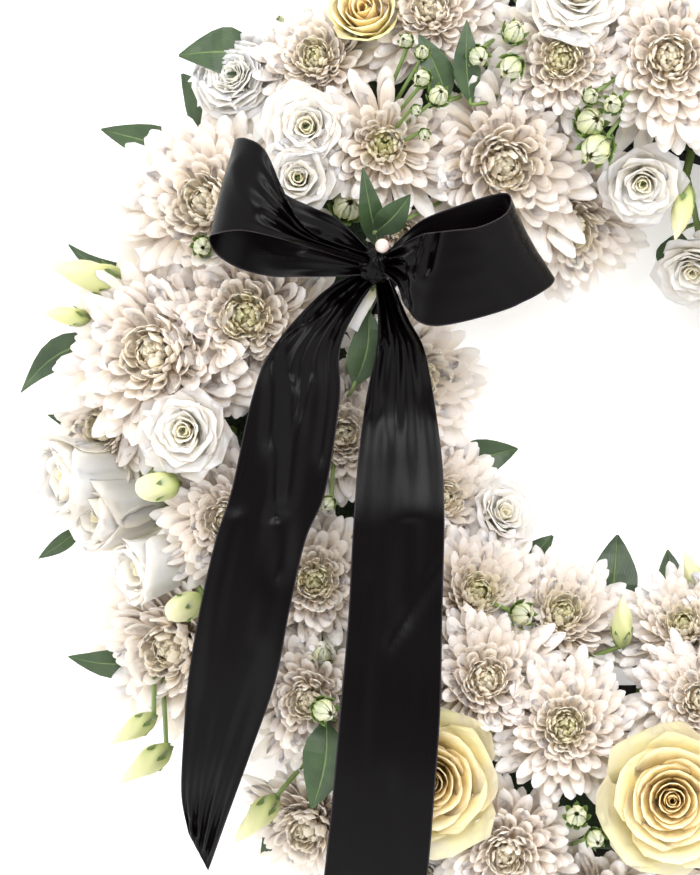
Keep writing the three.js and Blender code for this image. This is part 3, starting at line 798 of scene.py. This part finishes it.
def foamRing():
    plan = base["foam"]
    inner, outer, low, high, edge = (plan[key] for key in ("inner", "outer", "low", "high", "edge"))
    outline = (roundCorner(outer - edge, high - edge, edge, 0)
               + roundCorner(inner + edge, high - edge, edge, 90)
               + roundCorner(inner + 1, low + 1, 1, 180, 2) + roundCorner(outer - 1, low + 1, 1, 270, 2))
    return spunRing("foam", outline)


def trayRing():
    plan = base["tray"]
    inner, outer, wall = plan["inner"], plan["outer"], plan["wall"]
    high, lip, edge = plan["high"], plan["lip"], plan["edge"]
    bottom = [(inner + edge, 0), (outer - edge, 0)]
    outside = roundCorner(outer - edge, edge, edge, 270)[1:] + [(outer, high - 2), (outer + lip, high - 1.6),
                                                               (outer + lip, high), (outer - wall, high)]
    floor = [(outer - wall, wall + 1), (outer - wall - 1, wall), (inner + wall + 1, wall),
             (inner + wall, wall + 1)]
    inside = [(inner + wall, high), (inner - lip, high), (inner - lip, high - 1.6), (inner, high - 2)]
    inside += roundCorner(inner + edge, edge, edge, 180)[:-1]
    return spunRing("tray", bottom + outside + floor + inside)


# ---- finishes ----

tree = {}       # the nodes and links of the material that is being made


def openTree(nodeTree):
    tree["nodes"], tree["links"] = nodeTree.nodes, nodeTree.links
    return tree["nodes"]


def newMaterial(name):
    material = bpy.data.materials.new(name)
    material.use_nodes = True
    return material, openTree(material.node_tree)["Principled BSDF"]


def newNode(kind, **values):
    node = tree["nodes"].new("ShaderNode" + kind)
    for name, value in values.items():
        node.inputs[name].default_value = value
    return node


def link(source, target):
    tree["links"].new(source, target)


def settle(shader, **values):
    for name, value in values.items():
        shader.inputs[name.replace("_", " ")].default_value = value


# Noise or cells that keep their place on the piece
def patternAt(kind, **values):
    node = newNode(kind, **values)
    link(newNode("TexCoord").outputs["Object"], node.inputs["Vector"])
    return node.outputs["Distance" if kind == "TexVoronoi" else "Fac"]


# Reads the blade map and the tint: share across, share along, then nearness to the heart, chance, warmth
def bladeInputs():
    bladeMap, parts = newNode("UVMap"), newNode("SeparateXYZ")
    bladeMap.uv_map = "blade"
    link(bladeMap.outputs["UV"], parts.inputs[0])
    tints, tintParts = newNode("Attribute"), newNode("SeparateColor")
    tints.attribute_name = "tint"
    link(tints.outputs["Color"], tintParts.inputs[0])
    return parts.outputs["X"], parts.outputs["Y"], tintParts.outputs


def mathNode(operation, first, second=None, third=None):
    node = newNode("Math")
    node.operation = operation
    for socket, value in zip(node.inputs, (first, second, third)):
        if value is None:
            continue
        if isinstance(value, (int, float)):
            socket.default_value = value
        else:
            link(value, socket)
    return node.outputs[0]


def mixColours(factor, first, second, blend="MIX"):
    node = newNode("Mix")
    node.data_type = "RGBA"
    node.blend_type = blend
    for name, value in (("Factor", factor), ("A", first), ("B", second)):
        socket = node.inputs[name]
        if isinstance(value, bpy.types.NodeSocket):
            link(value, socket)
        elif isinstance(value, tuple):
            socket.default_value = (*value, 1)
        else:
            socket.default_value = value
    return node.outputs["Result"]


def rampOf(value, stops):
    ramp = newNode("ValToRGB")
    link(value, ramp.inputs["Fac"])
    points = ramp.color_ramp.elements
    while len(points) < len(stops):
        points.new(0.5)
    for point, (place, colour) in zip(points, stops):
        point.position = place
        point.color = (*colour, 1)
    return ramp.outputs["Color"]


def fromRange(value, low, high, start=0, end=1):
    node = newNode("MapRange", **{"From Min": low, "From Max": high, "To Min": start, "To Max": end})
    link(value, node.inputs["Value"])
    return node.outputs["Result"]


# Fine ridges along a petal or a leaf, as a height
def ridges(across, along, count, waver):
    combine = newNode("CombineXYZ")
    link(mathNode("MULTIPLY", across, count), combine.inputs["X"])
    link(mathNode("MULTIPLY", along, waver), combine.inputs["Y"])
    grain = newNode("TexNoise", Scale=1.0, Detail=2.0)
    link(combine.outputs[0], grain.inputs["Vector"])
    return grain.outputs["Fac"]


def addBump(shader, height, strength, distance):
    bump = newNode("Bump", Strength=strength, Distance=distance)
    link(height, bump.inputs["Height"])
    link(bump.outputs["Normal"], shader.inputs["Normal"])


def petalFinish(name, stops, heartColour, heartFrom, ridgeCount=9, glow=0.7, greenHeart=(0.72, 0.66, 0.20),
                outer=None):
    material, shader = newMaterial(name)
    across, along, tints = bladeInputs()
    body = rampOf(along, stops)
    heart = fromRange(tints["Red"], heartFrom, 1.0)
    middle = mixColours(tints["Blue"], heartColour, greenHeart)
    colour = mixColours(heart, body, middle)
    if outer:
        colour = mixColours(fromRange(tints["Red"], 0.30, 0.0), colour, outer)
    shade = fromRange(tints["Green"], 0, 1, 0.93, 1.0)
    grey = newNode("CombineColor")
    for socket in grey.inputs[:3]:
        link(shade, socket)
    colour = mixColours(1.0, colour, grey.outputs[0], "MULTIPLY")
    height = ridges(across, along, ridgeCount, 1.2)
    streaks = fromRange(height, 0.3, 0.75, 0.0, 0.10)
    colour = mixColours(streaks, colour, stops[0][1])
    link(colour, shader.inputs["Base Color"])
    addBump(shader, height, 0.35, 0.0006)
    settle(shader, Roughness=0.5, Specular_IOR_Level=0.3, Subsurface_Weight=glow,
           Subsurface_Radius=(1.0, 0.85, 0.6), Subsurface_Scale=0.005)
    return material


def leafFinish(name, dark, light, under):
    material, shader = newMaterial(name)
    across, along, tints = bladeInputs()
    fromRib = mathNode("ABSOLUTE", mathNode("SUBTRACT", across, 0.5))
    rib = fromRange(fromRib, 0.035, 0.0)
    slant = mathNode("MULTIPLY_ADD", fromRib, -1.5, along)
    veins = mathNode("SINE", mathNode("MULTIPLY", slant, 60))
    veinMask = fromRange(veins, 0.86, 1.0)
    blotch = patternAt("TexNoise", Scale=90)
    body = mixColours(fromRange(blotch, 0.3, 0.7), dark, light)
    body = mixColours(fromRange(tints["Green"], 0, 1, 0, 0.5), body, light)
    body = mixColours(tints["Blue"], body, under)
    colour = mixColours(mathNode("MULTIPLY", veinMask, 0.22), body, under)
    ribColour = (0.30, 0.42, 0.16)
    colour = mixColours(mathNode("MULTIPLY", rib, 0.6), colour, ribColour)
    link(colour, shader.inputs["Base Color"])
    height = mathNode("ADD", mathNode("MULTIPLY", veinMask, -0.5),
                      mathNode("MULTIPLY", rib, -1.0))
    addBump(shader, height, 0.5, 0.0006)
    settle(shader, Roughness=0.38, Specular_IOR_Level=0.5)
    return material


# Woven satin: a fine cross weave, a brighter thread along both edges and a soft sheen
def satinFinish():
    material, shader = newMaterial("satinRibbon")
    bladeMap, parts = newNode("UVMap"), newNode("SeparateXYZ")
    bladeMap.uv_map = "blade"
    link(bladeMap.outputs["UV"], parts.inputs[0])
    across, along = parts.outputs["X"], parts.outputs["Y"]
    fromMiddle = mathNode("ABSOLUTE", mathNode("SUBTRACT", across, 0.5))
    edge = fromRange(fromMiddle, 0.484, 0.492)
    threads = mathNode("SINE", mathNode("MULTIPLY", along, 900))
    weave = ridges(across, along, 260, 12)
    body = mixColours(weave, (0.0009, 0.0005, 0.0006), (0.0019, 0.0011, 0.0013))
    colour = mixColours(mathNode("MULTIPLY", edge, 0.6), body, (0.05, 0.042, 0.05))
    link(colour, shader.inputs["Base Color"])
    link(fromRange(weave, 0.3, 0.7, 0.25, 0.31), shader.inputs["Roughness"])
    height = mathNode("ADD", mathNode("MULTIPLY", weave, 0.5),
                      mathNode("MULTIPLY", edge, threads))
    addBump(shader, height, 0.25, 0.00012)
    settle(shader, Specular_IOR_Level=0.12)
    return material


def pearlFinish():
    material, shader = newMaterial("pearl")
    cloud = patternAt("TexNoise", Scale=160)
    link(mixColours(cloud, (0.60, 0.44, 0.39), (0.76, 0.64, 0.59)), shader.inputs["Base Color"])
    settle(shader, Roughness=0.22, Coat_Weight=0.6, Coat_Roughness=0.08, Subsurface_Weight=0.1,
           Subsurface_Scale=0.002)
    return material


def steelFinish():
    material, shader = newMaterial("pinSteel")
    grain = patternAt("TexNoise", Scale=900)
    link(mixColours(grain, (0.50, 0.50, 0.50), (0.62, 0.61, 0.60)), shader.inputs["Base Color"])
    link(fromRange(grain, 0.3, 0.7, 0.25, 0.38), shader.inputs["Roughness"])
    settle(shader, Metallic=1)
    return material


# Wet foam: crushed open cells over a coarse mottling. Each cell is a pit in the bump, and its middle is
# painted near-black as painted shade in the pore hollow.
def foamFinish():
    material, shader = newMaterial("wetFoam")
    cells, mottle = patternAt("TexVoronoi", Scale=900), patternAt("TexNoise", Scale=60, Detail=5)
    body = mixColours(fromRange(mottle, 0.3, 0.7), (0.010, 0.022, 0.012), (0.028, 0.055, 0.024))
    poreDepthAndShade = fromRange(cells, 0.0, 0.35)
    # the near-black colour at the cells' middles is painted shade in the pore hollows, not the foam's own
    # colour
    link(mixColours(poreDepthAndShade, (0.004, 0.008, 0.005), body), shader.inputs["Base Color"])
    addBump(shader, mathNode("ADD", poreDepthAndShade, mottle), 0.8, 0.0008)
    settle(shader, Roughness=0.85)
    return material


def trayFinish():
    material, shader = newMaterial("trayPlastic")
    grain, smear = patternAt("TexNoise", Scale=1400), patternAt("TexNoise", Scale=22)
    link(mixColours(smear, (0.005, 0.005, 0.005), (0.009, 0.009, 0.009)), shader.inputs["Base Color"])
    link(fromRange(smear, 0.3, 0.7, 0.38, 0.5), shader.inputs["Roughness"])
    addBump(shader, grain, 0.2, 0.0002)
    return material


# ---- camera, light and floor ----

studio = {
    "distance": 3500,           # camera above the blooms
    "bloomLevel": 105,
    "frameHeight": 437.5,       # what the picture's long side takes in at the blooms' level
    "lookAt": (-141, -9),
    "floorColour": (0.95, 0.95, 0.95),
    "floorGlow": 0.42,
    "skyLight": 1.48,
    "overheadLight": 0.45,      # the camera's dark screen straight above
    "overhead": (0.84, 0.975),  # how steep the light comes where that screen starts and is full
    # place in metres, width in metres and power in watts
    "lamps": {"keyLamp": ((1.0, 1.1, 1.6), 1.0, 20), "fillLamp": ((-1.5, -0.9, 1.5), 1.4, 4),
              "topLamp": ((-0.25, 0.75, 1.75), 0.6, 10)},
}


def setStudio():
    scene = bpy.context.scene
    deselectAll()
    lens = 36 * studio["distance"] / studio["frameHeight"]
    x, y = studio["lookAt"]
    place = ringMiddle + Vector((x, y, studio["distance"] + studio["bloomLevel"])) * mm
    bpy.ops.object.camera_add(location=place, rotation=(0, 0, 0))
    camera = bpy.context.object
    camera.name = "camera"
    camera.data.lens = lens
    camera.data.clip_end = 20
    scene.camera = camera
    bpy.ops.mesh.primitive_plane_add(size=8, location=(0, 0, 0))
    floor = bpy.context.object
    floor.name = "floor"
    material, shader = newMaterial("paleFloor")
    settle(shader, Base_Color=(*studio["floorColour"], 1), Emission_Color=(1, 0.995, 0.985, 1),
           Emission_Strength=studio["floorGlow"], Roughness=0.9)
    floor.data.materials.append(material)
    for name, (at, size, power) in studio["lamps"].items():
        bpy.ops.object.light_add(type="AREA", location=at)
        lamp = bpy.context.object
        lamp.name = name
        lamp.data.size = size
        lamp.data.energy = power
        lamp.rotation_euler = (Vector((0, 0, 0.05)) - Vector(at)).to_track_quat("-Z", "Y").to_euler()
    world = bpy.data.worlds.new("studio")
    scene.world = world
    world.use_nodes = True
    background = openTree(world.node_tree)["Background"]
    direction, parts = newNode("TexCoord"), newNode("SeparateXYZ")
    link(direction.outputs["Generated"], parts.inputs[0])
    light = fromRange(parts.outputs["Z"], *studio["overhead"], studio["skyLight"], studio["overheadLight"])
    background.inputs["Color"].default_value = (1, 0.995, 0.99, 1)
    link(light, background.inputs["Strength"])
    scene.view_settings.view_transform = "Standard"


# ---- the wreath ----

finishes = {
    "chrysanthemum": petalFinish("chrysanthemumPetal", [(0.0, (0.95, 0.74, 0.38)),
                                                        (0.35, (0.985, 0.86, 0.725)),
                                                        (0.8, (0.99, 0.90, 0.825))],
                                 (0.99, 0.86, 0.54), 0.55),
    "rose": petalFinish("rosePetal", [(0.0, (0.76, 0.60, 0.21)), (0.4, (0.96, 0.73, 0.32)),
                                      (1.0, (0.99, 0.83, 0.49))], (0.97, 0.66, 0.28), 0.40, 14,
                        outer=(0.88, 0.79, 0.37)),
    "lisianthus": petalFinish("lisianthusPetal", [(0.0, (0.60, 0.64, 0.24)), (0.35, (0.95, 0.88, 0.73)),
                                                  (1.0, (0.98, 0.92, 0.86))], (0.92, 0.83, 0.54), 0.6, 12),
    "carnation": petalFinish("carnationPetal", [(0.0, (0.74, 0.74, 0.42)), (0.4, (0.94, 0.90, 0.80)),
                                                (1.0, (0.97, 0.93, 0.88))], (0.94, 0.90, 0.76), 0.6, 8),
    "roundBud": petalFinish("budPetal", [(0.0, (0.34, 0.45, 0.10)), (0.45, (0.70, 0.73, 0.32)),
                                         (1.0, (0.86, 0.84, 0.54))], (0.70, 0.70, 0.26), 0.5, 6),
    "longBud": petalFinish("twistedBudPetal", [(0.0, (0.26, 0.36, 0.09)), (0.3, (0.58, 0.62, 0.28)),
                                               (0.9, (0.80, 0.77, 0.52))], (0.8, 0.8, 0.5), 0.9, 10),
    "green": leafFinish("greenLeaf", (0.018, 0.040, 0.016), (0.050, 0.094, 0.032), (0.15, 0.22, 0.13)),
    "stem": leafFinish("stemGreen", (0.09, 0.16, 0.03), (0.16, 0.26, 0.06), (0.26, 0.36, 0.12)),
    "satin": satinFinish(), "pearl": pearlFinish(), "steel": steelFinish(),
    "foam": foamFinish(), "tray": trayFinish(),
}


def dress(piece, finish):
    piece.data.materials.clear()
    piece.data.materials.append(finishes[finish])
    return piece


def finishPiece(piece, node):
    piece.name = node + "_look"
    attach(piece, "root")
    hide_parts(node)


setStudio()
note("studio is set")
petals = mumPetals()
heads = {form: dress(mumHead(form, petals), "chrysanthemum") for form in mum["forms"]}
remove(*petals)
note("chrysanthemum heads are modelled")

broadBlank = petalBlankOf("broadPetal", (0.30, 0.62, 0.84, 0.96, 1.0, 0.97, 0.84, 0.55), 14, 0.5)
fanBlank = petalBlankOf("fanPetal", (0.12, 0.30, 0.58, 0.84, 1.0, 0.96), 12, 0.4)
narrowBlank = petalBlankOf("narrowPetal", (0.5, 0.8, 1.0, 0.95, 0.75, 0.4), 6, 0.4)
sepalBlank = petalBlankOf("sepal", (0.7, 1.0, 0.9, 0.65, 0.35, 0.06), 6, 0.5)
leafBlank = petalBlankOf("leafBlank", leafPlan["widths"], 12, 0.04)
strapBlank = petalBlankOf("strapBlank", strapWidths, 12, 0.04)
for form, blank in (("rose", broadBlank), ("rosebud", broadBlank), ("lisianthus", broadBlank),
                    ("cup", broadBlank), ("carnation", fanBlank), ("roundBud", narrowBlank)):
    heads[form] = dress(wrappedHead(form, blank), {"rosebud": "rose", "cup": "lisianthus"}.get(form, form))
roundCalyx = dress(calyx(sepalBlank, 8, 1.0, 5.6, 8.5, 0.0), "stem")
longCalyx = dress(calyx(sepalBlank, 5, 1.0, 5.2, 12, 0.8), "stem")

calyxDrops = {"roundBud": 6.6, "longBud": 10.5, "barrelBud": 6.6}    # how far below a bud's middle it sits


def inCalyx(form, bud, sepals):
    drop = Matrix.Translation((0, 0, -calyxDrops[form] * mm))
    heads[form] = joinAll([bud, copyOf(sepals, "calyx", drop)], "head_" + form)


inCalyx("roundBud", heads["roundBud"], roundCalyx)
for form in rolledBuds:
    inCalyx(form, dress(rolledBudHead(form), "longBud"), longCalyx)
note("roses, lisianthus, carnations and buds are modelled")


def turnedTo(direction):
    return up.rotation_difference(direction).to_matrix().to_4x4()


def footOf(stem):
    angle = sum(bloom[0] for bloom in stem["blooms"]) / len(stem["blooms"])
    reach = sum(bloom[1] for bloom in stem["blooms"]) / len(stem["blooms"])
    slope = slopeAt(reach)
    ring, rim = wreathPlan["ringRadius"], wreathPlan["rimHeight"]
    fork = onRing(angle, ring + 58 * math.sin(slope), rim + 44 * math.cos(slope))
    foot = onRing(angle, ring + 18 * math.sin(slope), rim + 6 * math.cos(slope))
    return fork, foot


headSizes = {form: mum["radius"] for form in mum["forms"]}
headSizes.update({form: plan["radius"] for form, plan in wrapped.items()})
lifts = {"rose": 9, "rosebud": 8, "lisianthus": 6, "carnation": 9, "half": 5}
budRadius = 5.5             # what a round bud measures at the size it is modelled, in millimetres
fullness = {"full": 1.34, "open": 1.36, "upright": 1.28, "half": 1.2}


# Blooms that lie under a tail of the bow are pressed down by it
def pressed(centre):
    nearest = 1000
    for name in ("ribbon_tail_left", "ribbon_tail_right"):
        first, second = ribbons[name]["edges"]
        for step in range(41):
            line = (alongLine(first, step / 40) + alongLine(second, step / 40)) / 2
            nearest = min(nearest, math.hypot(line.x - centre.x / mm, line.y - centre.y / mm))
    return up * (-bow["press"] * max(0, min(1, (52 - nearest) / 20)) * mm)


def roundBud(fork, centre, width, thickness, chance):
    lean = Vector((chance.uniform(-0.5, 0.5), chance.uniform(-0.5, 0.5), 1)).normalized()
    place = Matrix.Translation(centre) @ turnedTo(lean) @ Matrix.Scale(width / 2 / budRadius, 4)
    stem = stalk([fork, (fork + centre) / 2, centre - lean * 5 * mm], thickness)
    return [copyOf(heads["roundBud"], "bud", place), dress(stem, "stem")]


def flowerStem(node, stem):
    chance = random.Random(node)
    fork, foot = footOf(stem)
    pieces = [dress(stalk([foot, fork], 2.2), "stem")]
    for angle, reach, width, form in stem["blooms"]:
        size = width / 2 / headSizes[form] * fullness.get(form, 1.08)
        centre = bloomPlace(angle, reach)
        centre += pressed(centre)
        facing = bloomFacing(angle, reach)
        if form == "cup":
            facing = ((onRing(angle, 1) - ringMiddle) / mm * 0.9 + up * 0.44).normalized()
        centre += facing * lifts.get(form, 0) * mm
        place = (Matrix.Translation(centre) @ turnedTo(facing)
                 @ Matrix.Rotation(chance.uniform(0, 6.28), 4, "Z") @ Matrix.Scale(size, 4))
        pieces.append(copyOf(heads[form], "bloom", place))
        neck = centre - facing * 12 * mm
        pieces.append(dress(stalk([fork, (fork + neck) / 2 - facing * 3 * mm, neck, centre], 1.6), "stem"))
    for angle, reach, width in stem.get("buds", []):
        centre = bloomPlace(angle, reach) + up * 17 * mm
        centre += 3 * pressed(centre)
        pieces += roundBud(fork, centre, width, 1.1, chance)
    rolled = [("longBud", bud) for bud in stem.get("longBuds", [])]
    rolled += [("barrelBud", bud) for bud in stem.get("barrelBuds", [])]
    for form, (angle, reach, width) in rolled:
        centre = bloomPlace(angle, reach) + up * (16 if reach > 260 else 10) * mm
        outwards = (onRing(angle, 1) - ringMiddle) * (1 if reach > wreathPlan["ringRadius"] else -1) / mm
        lean = (outwards * 0.94 + up * 0.34).normalized()
        place = Matrix.Translation(centre) @ turnedTo(lean) @ Matrix.Scale(width / 2 / 6, 4)
        pieces.append(copyOf(heads[form], "bud", place))
        line = [fork, (fork + centre) / 2 - up * 4 * mm, centre - lean * 9 * mm]
        pieces.append(dress(stalk(line, 1.2), "stem"))
    for baseAngle, baseReach, tipAngle, tipReach, width in stem.get("leaves", []):
        base = bloomPlace(baseAngle, baseReach) + up * 8 * mm
        tip = bloomPlace(tipAngle, tipReach) + up * 20 * mm
        pieces.append(dress(leafBlade(leafBlank, base, tip, width * mm, 1, 0.2, chance), "green"))
        pieces.append(dress(stalk([fork, base, base.lerp(tip, 0.15)], 1.2), "stem"))
    extras = between.get(node, {})
    for place, width in extras.get("buds", []):
        centre = ringMiddle + Vector(place) * mm
        pieces += roundBud(fork, centre, width, 1.0, chance)
    for kind, finish, blank in (("leaves", "green", leafBlank), ("petals", "lisianthus", strapBlank)):
        for base, tip, width in extras.get(kind, []):
            base, tip = (ringMiddle + Vector(point) * mm for point in (base, tip))
            blade = leafBlade(blank, base, tip, width * mm, 1, 0.2, chance)
            pieces.append(dress(blade, finish))
            pieces.append(dress(stalk([fork, base, base.lerp(tip, 0.1)], 1.0), "stem"))
    return joinAll(pieces, node)


def leafSprig(number, leaves):
    chance = random.Random(number)
    ring = wreathPlan["ringRadius"]
    side = -1 if leaves[0][3] < ring else 1
    angle = sum(leaf[0] for leaf in leaves) / len(leaves)
    foot, fork = onRing(angle, ring + side * 22, 32), onRing(angle, ring + side * 48, 30)
    pieces = [dress(stalk([foot, fork], 2.2), "stem")]
    for baseAngle, baseReach, tipAngle, tipReach, width in leaves:
        base, tip = onRing(baseAngle, baseReach, 26), onRing(tipAngle, tipReach, 20)
        blade = leafBlade(leafBlank, base, tip, width * mm, 1, chance.uniform(-0.5, 0.5), chance)
        pieces.append(dress(blade, "green"))
        line = [fork, (fork + base) / 2 + up * 2 * mm, base, base.lerp(tip, 0.12)]
        pieces.append(dress(stalk(line, 1.1), "stem"))
    return joinAll(pieces, "sprig")


for node, stem in stems.items():
    finishPiece(flowerStem(node, stem), node)
note("flower stems are in place")
for number, leaves in enumerate(sprigs, 1):
    finishPiece(leafSprig(number, leaves), f"leaf_sprig_{number}")
note("leaf sprigs are in place")
remove(*heads.values(), broadBlank, fanBlank, narrowBlank, sepalBlank, leafBlank, strapBlank, roundCalyx,
       longCalyx)

for name, plan in ribbons.items():
    sheet, length = ribbonSheet(name)
    finishPiece(dress(sheet, "satin"), name)
finishPiece(dress(bowKnot(), "satin"), "bow_knot")
pearl, shaft = pearlPin()
finishPiece(dress(pearl, "pearl"), "pearl_pin")
dress(shaft, "steel")
shaft.name = "pearl_pin_shaft"
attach(shaft, "root")
finishPiece(dress(foamRing(), "foam"), "floral_foam")
finishPiece(dress(trayRing(), "tray"), "wreath_tray")
note("bow, foam and tray are in place")
